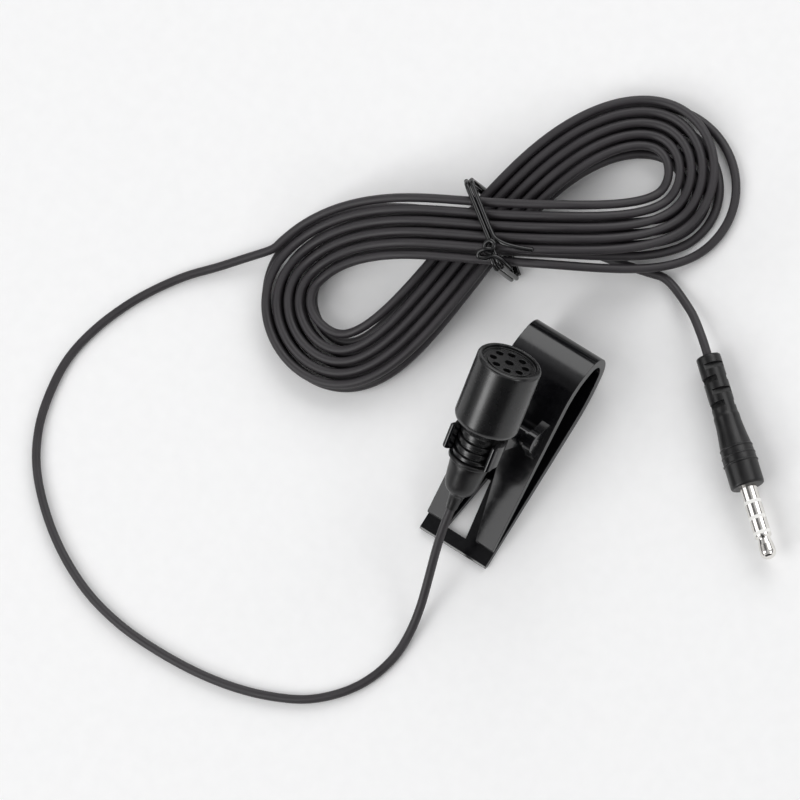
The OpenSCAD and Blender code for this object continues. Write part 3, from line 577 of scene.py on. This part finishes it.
def dress(obj, mat, body):
    """Gives a piece its finish and the body that it rides on."""
    obj.data.materials.clear()
    obj.data.materials.append(mat)
    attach(obj, body)


def refinish(mat, *names):
    """Gives CAD nodes a finish."""
    for name in names:
        slots = CAD[name].material_slots
        for s in slots:
            s.material = mat
        if not len(slots):
            CAD[name].data.materials.append(mat)


def tie_line():
    """The tie's wire, as points along the hank, across it and up: from the end of its long tail twice
    round the waist, over round corners, then curled over itself and out along the short tail."""
    r, pitch = TIE_STRAND / 2, 1.06 * TIE_STRAND
    bend, per_corner = 1.9, 6       # radius of each corner, and the points on it
    slope = 0.15                    # how far the wraps lean along the hank, for each unit across it
    top = TIE_LIFT + 4 * LAYER_STEP + CABLE_D + TIE_PLAY + r
    quarter = np.linspace(0, -90, per_corner)
    a = np.radians(np.concatenate([start + quarter for start in (90, 360, 270, 180)]))
    side, level = (np.repeat(signs, per_corner) for signs in ([1, 1, -1, -1], [1, -1, -1, 1]))
    v = TIE_MID + side * (TIE_HALF - bend) + bend * np.cos(a)
    z = (top + r) / 2 + level * ((top - r) / 2 - bend) + bend * np.sin(a)
    # the wire moves over by its pitch on its way below the waist
    over = smoothstep((np.arange(len(a)) - 1.5 * per_corner) / per_corner)
    first = np.stack([TIE_U + slope * (TIE_MID - v) + pitch * (0.5 - over), v, z], -1)
    second = first - [pitch, 0, 0]
    across = np.array([-4, 0, 4])
    between = np.stack([TIE_U + slope * (TIE_MID - across) - pitch / 2, across, top + 0 * across], -1)
    long_tail = np.array([[9.9, -7.7, -0.9], [8, -7, 0], [6, -6, 0.5], [4.5, -4.9, 0.6],
                          [3.4, -3.6, 0.35], [2.85, -2, 0.05], [2.5, 0, 0]])
    curl = np.array([[1.6, -6.6, 0.2], [0.9, -5.6, 0.8], [1.2, -4.4, 1.1], [2.4, -4, 1.35],
                     [3.1, -4.8, 1.3], [2.4, -5.7, 1.2], [1.2, -5.5, 1.5], [-0.2, -5.6, 1.3],
                     [-0.7, -6.4, 0.9], [0.4, -7, 0.6], [2, -7, 0.4], [3.2, -7.8, 0],
                     [4, -8.9, -0.8], [4.5, -9.9, -1.7]])
    on_top = [0, 0, top]
    wire = np.vstack([long_tail + on_top, first, between, second, curl + on_top])
    per_span, step = 10, 0.25
    return waist(evenly(catmull(wire, per_span), step))


def boot_surface(turns):
    """The rear boot, turned round the microphone's axis: a flange, a cup that narrows backwards over
    a round base, and a tail that tapers on to the cable, with a sleeve inside the neck."""
    tail_r, mouth_r, flange_r, sleeve_r, bore_r = 1.15, 3.9, 4.75, 2.68, 0.91
    tail_z, cup_z, flange_z, neck_z, sleeve_z = -15.6, -4.2, -4, -3.1, 3.2
    outside = catmull([[tail_r, tail_z], [1.26, -14.6], [1.4, -13.2], [1.62, -12.2], [2.25, -11.6],
                       [2.95, -10.9], [3.4, -9.7], [3.62, -8.2], [3.8, -6.6], [3.95, -5.4],
                       [3.98, -4.7], [mouth_r, cup_z]], 6)
    rest = corners([[mouth_r, cup_z], [mouth_r, flange_z], [flange_r, flange_z], [flange_r, neck_z],
                    [sleeve_r, neck_z], [sleeve_r, sleeve_z], [bore_r, sleeve_z],
                    [bore_r, BOOT_END], [tail_r - 0.02, BOOT_END], [tail_r, tail_z]],
                   [0.15, 0.3, 0.3, 0.1, 0.1, 0.1, 0.04, 0.06])
    radius, height = np.vstack([outside[:-1], rest]).T
    radius = np.repeat(radius[:, None], turns, 1)
    return round_surface("rear_boot_surface", radius, height, MIC, smooth_angle=50)


def overmould_surface(turns):
    """The plug's overmould: radius as a function of the angle and the height along the plug. A straight
    relief gives way in a smooth step to the grip, which has beads near its front; each of the relief's
    slots has a flat floor, whose radius is its distance over the cosine of the angle from its middle."""
    length, relief_l, relief_r, end_round = 28, 12.4, 2.5, 0.5
    shoulder_l, grip_r = 0.6, 2.65          # the short step from the relief up to the grip
    rise_z, rise_l = 13.2, 9.6              # where the grip widens, and over what length
    socket_r, socket_l = 2.37, 3.6          # the bush's seat in the front
    bead_z, bead_fall = 23 - 1.6 * np.arange(3), 0.1
    slot_z, slot_turn = 2.5 + 2.7 * np.arange(4), np.radians([-38, 38, -38, 38])
    slot_depth, slot_half, slot_edge = 1.25, 0.55, 0.05

    # rows lie closer at the ends, at the slots' edges and on the beads
    quarter = np.sin(np.radians(np.arange(0, 91, 15)))
    rows = [np.linspace(0, 1.2, 13), np.linspace(1.2, length, 110), length - end_round * (1 - quarter)]
    rows += [c + side * slot_half + np.linspace(-0.16, 0.16, 9) for c in slot_z for side in (-1, 1)]
    rows += [c + np.linspace(-0.32, 0.32, 15) for c in bead_z]
    z = np.unique(np.round(np.concatenate(rows), 3))

    r = np.interp(z, [0, relief_l, relief_l + shoulder_l], [relief_r, relief_r, grip_r])
    r += (MOULD_R - grip_r) * smoothstep((z - rise_z) / rise_l)
    for from_end in (z, length - z):
        r -= end_round * (1 - np.sqrt(1 - np.clip(1 - from_end / end_round, 0, 1) ** 2))
    for i, c in enumerate(bead_z):
        bead = np.sqrt(np.clip(BEAD_R ** 2 - (z - c) ** 2, 0, None))
        crest = MOULD_R - BEAD_SINK - bead_fall * i + bead
        r = np.where(np.abs(z - c) > BEAD_R, r, np.maximum(r, crest))

    theta = np.linspace(0, 2 * math.pi, turns, endpoint=False)
    skin = np.repeat(r[:, None], turns, 1)
    for c, turn in zip(slot_z, slot_turn):
        cut = smoothstep((slot_half + slot_edge - np.abs(z - c)) / (2 * slot_edge))[:, None]
        for way in (0, math.pi):
            # a cosine under 0.3 would put the floor far outside the skin
            cosine = np.maximum(np.cos(theta - math.pi - way - turn), 0.3)
            floor = (relief_r - slot_depth) / cosine
            skin += (np.minimum(skin, floor) - skin) * cut
    axis, socket = np.zeros(turns), np.full(turns, socket_r)
    radius = np.vstack([axis, skin, socket, socket, axis])
    height = np.concatenate([[0], z, [length, length - socket_l, length - socket_l]])
    return round_surface("plug_overmould_surface", radius, height, PLUG, smooth_angle=40)


# ---- settings ----------------------------------------------------------------------------
class MicCableSettings(bpy.types.PropertyGroup):
    """Sizes of the cable and its tie."""
    diameter: FloatProperty(name="Cable diameter", description="Outside diameter of the jacket",
                            default=CABLE_D * MM, unit="LENGTH", precision=5)
    sides: IntProperty(name="Sides", description="Faces round the cable", default=14, min=6, max=24)
    tie_strand: FloatProperty(name="Tie strand", description="Outside diameter of the coated tie wire",
                              default=TIE_STRAND * MM, unit="LENGTH", precision=5)
    tie_sides: IntProperty(name="Tie sides", description="Faces round the tie's wire", default=12,
                           min=6, max=24)


class MicShellSettings(bpy.types.PropertyGroup):
    """Edge radii of the moulded pieces, and how finely the round ones are divided."""
    clip_edge: FloatProperty(name="Clip edge", description="Radius rolled on the clip's edges",
                             default=0.22 * MM, min=0.02 * MM, unit="LENGTH", precision=5)
    pin_edge: FloatProperty(name="Pin edge", description="Radius rolled on the hinge pin's ends",
                            default=0.08 * MM, min=0.02 * MM, unit="LENGTH", precision=5)
    ring_edge: FloatProperty(name="Ring edge", description="Radius rolled on the snap ring's edges",
                             default=0.25 * MM, min=0.02 * MM, unit="LENGTH", precision=5)
    housing_edge: FloatProperty(name="Housing edge", description="Radius rolled on the housing's edges",
                                default=0.12 * MM, min=0.02 * MM, unit="LENGTH", precision=5)
    hole_edge: FloatProperty(name="Sound hole edge", description="Radius rolled on the grille's edges",
                             default=0.1 * MM, min=0.02 * MM, unit="LENGTH", precision=5)
    boot_turns: IntProperty(name="Boot faces", description="Faces round the rear boot", default=128,
                            min=32, max=256)
    mould_turns: IntProperty(name="Overmould faces", description="Faces round the plug's overmould",
                             default=144, min=32, max=256)


class MicStudioSettings(bpy.types.PropertyGroup):
    """Camera, floor and lamps."""
    azimuth: FloatProperty(name="Azimuth", description="Direction of the camera round the object",
                           default=math.radians(88.75), subtype="ANGLE")
    elevation: FloatProperty(name="Elevation", description="Height of the camera above the horizon",
                             default=math.radians(71.5), subtype="ANGLE")
    roll: FloatProperty(name="Roll", description="Turn of the camera about its own axis",
                        default=math.radians(-56.9), subtype="ANGLE")
    distance: FloatProperty(name="Distance", description="From the camera to the object", default=2.0,
                            unit="LENGTH")
    across: FloatProperty(name="Width seen", description="Width of the view at the object",
                          default=0.16038, unit="LENGTH")
    aim_right: FloatProperty(name="Aim right", default=-0.02337, unit="LENGTH",
                             description="From the frame's origin to the view's middle, rightwards")
    aim_up: FloatProperty(name="Aim up", default=0.00952, unit="LENGTH",
                          description="From the frame's origin to the view's middle, upwards")
    key_power: FloatProperty(name="Overhead lamp", default=5.1, min=0, subtype="POWER",
                             description="Power of the soft lamp above the object")
    far_power: FloatProperty(name="Far side lamp", default=6.6, min=0, subtype="POWER",
                             description="Power of the soft lamp beyond the clip's fold")
    near_power: FloatProperty(name="Near side lamp", default=2.2, min=0, subtype="POWER",
                              description="Power of the soft lamp behind the boot")
    rim_power: FloatProperty(name="Edge lamp", default=1.4, min=0, subtype="POWER",
                             description="Power of the small lamp that lights the clip's edges")
    floor_colour: FloatVectorProperty(name="Floor", description="Colour of the floor and backdrop",
                                      default=linear("#f7f7f7"), size=4, subtype="COLOR", min=0, max=1)


# ---- operators ---------------------------------------------------------------------------
class MIC_OT_camera(bpy.types.Operator):
    """Sets up the camera: a long lens, looking down at the object and rolled."""
    bl_idname = "lavalier.camera"
    bl_label = "Camera"

    def execute(self, context):
        s = context.scene.lavalier_studio
        back = Vector((math.sin(s.azimuth) * math.cos(s.elevation),
                       -math.cos(s.azimuth) * math.cos(s.elevation), math.sin(s.elevation)))
        level = Vector((math.cos(s.azimuth), math.sin(s.azimuth), 0))
        right = level * math.cos(s.roll) + back.cross(level) * math.sin(s.roll)
        up = back.cross(right)
        data = bpy.data.cameras.new("camera")
        data.lens = data.sensor_width * s.distance / s.across
        data.clip_start, data.clip_end = 0.05, 20
        cam = bpy.data.objects.new("camera", data)
        context.scene.collection.objects.link(cam)
        at = right * s.aim_right + up * s.aim_up + back * s.distance
        cam.matrix_world = Matrix.Translation(at) @ Matrix((right, up, back)).transposed().to_4x4()
        context.scene.camera = cam
        return {"FINISHED"}


class MIC_OT_cable(bpy.types.Operator):
    """Lays the whole cable as one tube, from the boot to the plug, through the tied hank."""
    bl_idname = "lavalier.cable"
    bl_label = "Cable"

    def execute(self, context):
        s = context.scene.lavalier_cable
        cable = tube("cable", cable_line(), s.diameter / 2, s.sides, domed=False)
        dress(cable, pvc_jacket(), "microphone")
        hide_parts("lead_mic_side", "cable_hank", "lead_plug_side")
        return {"FINISHED"}


class MIC_OT_tie(bpy.types.Operator):
    """Ties the hank: one coated wire twice round the waist, its ends curled and laid over."""
    bl_idname = "lavalier.tie"
    bl_label = "Tie"

    def execute(self, context):
        s = context.scene.lavalier_cable
        tie = tube("tie", tie_line(), s.tie_strand / 2, s.tie_sides, domed=True)
        dress(tie, tie_coating(), "microphone")
        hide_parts("twist_tie")
        return {"FINISHED"}


class MIC_OT_clip(bpy.types.Operator):
    """Finishes the sprung clip and its hinge pin, with a small radius on every edge."""
    bl_idname = "lavalier.clip"
    bl_label = "Clip"

    def execute(self, context):
        s = context.scene.lavalier_shell
        clip = rounded_copy("visor_clip", s.clip_edge)
        dress(clip, gloss_nylon(), "clip")
        pin = rounded_copy("hinge_pin", s.pin_edge)
        # drawn steel: bright and a little streaked
        steel = moulded("steel_drawn_bright", ("#8d8c8b", "#a6a5a3"), rough=(0.22, 0.34), patch_mm=2,
                        grain_mm=0.3, depth_mm=0.002, Metallic=1.0)
        dress(pin, steel, "clip")
        return {"FINISHED"}


class MIC_OT_holder(bpy.types.Operator):
    """Finishes the snap ring with its flared lips, web and barrel."""
    bl_idname = "lavalier.holder"
    bl_label = "Snap ring"

    def execute(self, context):
        ring = rounded_copy("holder_ring", context.scene.lavalier_shell.ring_edge)
        dress(ring, bpy.data.materials["nylon_moulded_gloss"], "holder")
        return {"FINISHED"}


class MIC_OT_head(bpy.types.Operator):
    """Finishes the microphone's housing, its grille and the cloth behind it."""
    bl_idname = "lavalier.head"
    bl_label = "Head"

    def execute(self, context):
        s = context.scene.lavalier_shell
        abs_satin = satin_abs()
        for node, edge in (("mic_housing", s.housing_edge), ("grille_cap", s.hole_edge)):
            dress(rounded_copy(node, edge), abs_satin, "microphone")
        refinish(woven_screen(), "dust_screen")
        return {"FINISHED"}


class MIC_OT_capsule(bpy.types.Operator):
    """Finishes the electret capsule and what lies behind it."""
    bl_idname = "lavalier.capsule"
    bl_label = "Capsule"

    def execute(self, context):
        for node, material, tones, rough, sizes, shader in INSIDE:
            refinish(moulded(material, tones, rough, *sizes, **shader), node)
        refinish(soft_pvc(), "cord_stub")
        return {"FINISHED"}


class MIC_OT_boot(bpy.types.Operator):
    """Builds the soft rear boot: a flange behind the ring, a narrowing cup and a tail on the cable."""
    bl_idname = "lavalier.boot"
    bl_label = "Rear boot"

    def execute(self, context):
        boot = boot_surface(context.scene.lavalier_shell.boot_turns)
        dress(boot, bpy.data.materials["PVC_soft_moulded"], "microphone")
        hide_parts("rear_boot")
        return {"FINISHED"}


class MIC_OT_plug(bpy.types.Operator):
    """Finishes the plug: soft overmould, four nickel-plated contacts and their white rings."""
    bl_idname = "lavalier.plug"
    bl_label = "Plug"

    def execute(self, context):
        mould = overmould_surface(context.scene.lavalier_shell.mould_turns)
        dress(mould, bpy.data.materials["PVC_soft_moulded"], "microphone")
        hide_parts("plug_overmould")
        refinish(nickel_plate(), *CONTACTS)
        # moulded polyamide: white and evenly dull
        white = moulded("polyamide_moulded_white", ("#efeeea", "#f6f5f2"), rough=(0.35, 0.45),
                        patch_mm=1.5, grain_mm=0.3, depth_mm=0.004, IOR=1.53)
        refinish(white, *INSULATORS, "plug_core")
        refinish(bpy.data.materials["PVC_soft_moulded"], "plug_collar")
        refinish(bpy.data.materials["brass_crimp_pressed"], "plug_rod")
        return {"FINISHED"}


class MIC_OT_declare(bpy.types.Operator):
    bl_idname = "lavalier.declare"
    bl_label = "Cable's facts"

    def execute(self, context):
        path = cable_line()
        return {"FINISHED"}


def studio_floor(scene, colour):
    """A wide sheet of matt paper just under the object, with a low rim that hides the horizon."""
    half, rim, level = 3.0, 0.3, CAD_BOX[0].z - 0.1 * MM
    square = [(-half, -half), (half, -half), (half, half), (-half, half)]
    mesh = bpy.data.meshes.new("floor")
    mesh.from_pydata([(*c, level) for c in square] + [(*c, level + rim) for c in square], [],
                     [(0, 1, 2, 3)] + [(k, k + 4, (k + 1) % 4 + 4, (k + 1) % 4) for k in range(4)])
    floor = bpy.data.objects.new("floor", mesh)
    scene.collection.objects.link(floor)
    mat, tree, bsdf = blank("floor_paper", Roughness=0.9, Specular_IOR_Level=0.1)
    at = add(tree, "ShaderNodeTexCoord")
    fibre = add(tree, "ShaderNodeTexNoise", {"Scale": per(3), "Detail": 3.0}, Vector=(at, "Object"))
    stops = zip(MIDDLE, (colour, linear("#f9f9f9")))
    tone = add(tree, "ShaderNodeValToRGB", {"stops": stops}, Fac=(fibre, "Fac"))
    tree.links.new(tone.outputs["Color"], bsdf.inputs["Base Color"])
    floor.data.materials.append(mat)


def light_tent(scene):
    """The world as a light tent: even above, dark near the horizon, with two openings, one high and
    one low in front. An opening lets in less light the nearer a direction is to its own, by a
    smooth step of the cosine between them."""
    world = bpy.data.worlds.new("studio")
    scene.world = world
    world.use_nodes = True
    tree = world.node_tree
    way = add(tree, "ShaderNodeTexCoord")
    height = add(tree, "ShaderNodeSeparateXYZ", Vector=(way, "Generated"))
    stops = ((0.12, linear("#1c1c1d")), (0.42, linear("#c8c8c9")))
    tone = add(tree, "ShaderNodeValToRGB", {"stops": stops}, Fac=(height, "Z"))
    both = add(tree, "ShaderNodeMath", {"operation": "MULTIPLY"})
    # of each opening, its direction, the cosines of its edge and its middle, and the light left there
    high = ((-0.32, 0, 0.95), 0.88, 0.97, 0.25)
    front = ((0.6, -0.75, 0.3), 0.72, 0.92, 0.06)
    for factor, (toward, edge, middle, least) in zip(both.inputs, (high, front)):
        facing = add(tree, "ShaderNodeVectorMath", {"operation": "DOT_PRODUCT"},
                     Vector=(way, "Generated"))
        facing.inputs[1].default_value = Vector(toward).normalized()
        opening = add(tree, "ShaderNodeMapRange", {"interpolation_type": "SMOOTHSTEP",
                                                   "From Min": edge, "From Max": middle,
                                                   "To Min": 1.0, "To Max": least},
                      Value=(facing, "Value"))
        tree.links.new(opening.outputs["Result"], factor)
    back = tree.nodes["Background"]
    tree.links.new(tone.outputs["Color"], back.inputs["Color"])
    tree.links.new(both.outputs["Value"], back.inputs["Strength"])


def soft_box(scene, name, at, size, power):
    """A rectangular lamp of that width and height, aimed at the object."""
    data = bpy.data.lights.new(name, "AREA")
    data.shape, data.energy = "RECTANGLE", power
    data.size, data.size_y = size
    lamp = bpy.data.objects.new(name, data)
    scene.collection.objects.link(lamp)
    lamp.location = at
    lamp.rotation_mode = "QUATERNION"
    lamp.rotation_quaternion = (-Vector(at)).to_track_quat("-Z", "Y")


class MIC_OT_stage(bpy.types.Operator):
    """Sets a pale floor and soft studio light."""
    bl_idname = "lavalier.stage"
    bl_label = "Studio"

    def execute(self, context):
        scene = context.scene
        s = scene.lavalier_studio
        studio_floor(scene, tuple(s.floor_colour))
        light_tent(scene)
        soft_box(scene, "overhead", (-0.4, -0.66, 0.95), (1.1, 0.9), s.key_power)
        soft_box(scene, "far_side", (-0.05, 0.95, 0.65), (1.4, 0.7), s.far_power)
        soft_box(scene, "near_side", (-0.36, -1.03, 0.61), (0.35, 0.35), s.near_power)
        soft_box(scene, "edge", (1.0, 0.15, 0.55), (0.35, 0.35), s.rim_power)
        scene.view_settings.view_transform = "Standard"
        return {"FINISHED"}


class MIC_PT_panel(bpy.types.Panel):
    """Lists the pieces of the microphone and their sizes."""
    bl_idname = "MIC_PT_lavalier"
    bl_label = "Lavalier microphone"
    bl_space_type = "VIEW_3D"
    bl_region_type = "UI"
    bl_category = "Microphone"

    def draw(self, context):
        for group in ("lavalier_cable", "lavalier_shell", "lavalier_studio"):
            settings = getattr(context.scene, group)
            box = self.layout.box()
            for name in settings.bl_rna.properties.keys():
                if name not in ("rna_type", "name"):
                    box.prop(settings, name)
        for op in OPERATORS:
            self.layout.operator(op.bl_idname)


GROUPS = (MicCableSettings, MicShellSettings, MicStudioSettings)
OPERATORS = (MIC_OT_camera, MIC_OT_cable, MIC_OT_tie, MIC_OT_clip, MIC_OT_holder, MIC_OT_head,
             MIC_OT_capsule, MIC_OT_boot, MIC_OT_plug, MIC_OT_declare, MIC_OT_stage)


def register():
    """Registers the settings, the operators and the panel."""
    for cls in (*GROUPS, *OPERATORS, MIC_PT_panel):
        bpy.utils.register_class(cls)
    bpy.types.Scene.lavalier_cable = PointerProperty(type=MicCableSettings)
    bpy.types.Scene.lavalier_shell = PointerProperty(type=MicShellSettings)
    bpy.types.Scene.lavalier_studio = PointerProperty(type=MicStudioSettings)


def unregister():
    """Removes what register added."""
    del bpy.types.Scene.lavalier_cable, bpy.types.Scene.lavalier_shell, bpy.types.Scene.lavalier_studio
    for cls in reversed((*GROUPS, *OPERATORS, MIC_PT_panel)):
        bpy.utils.unregister_class(cls)


def main():
    """Registers the add-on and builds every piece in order."""
    register()
    for op in OPERATORS:
        group, name = op.bl_idname.split(".")
        getattr(getattr(bpy.ops, group), name)()


if __name__ == "__main__":
    main()
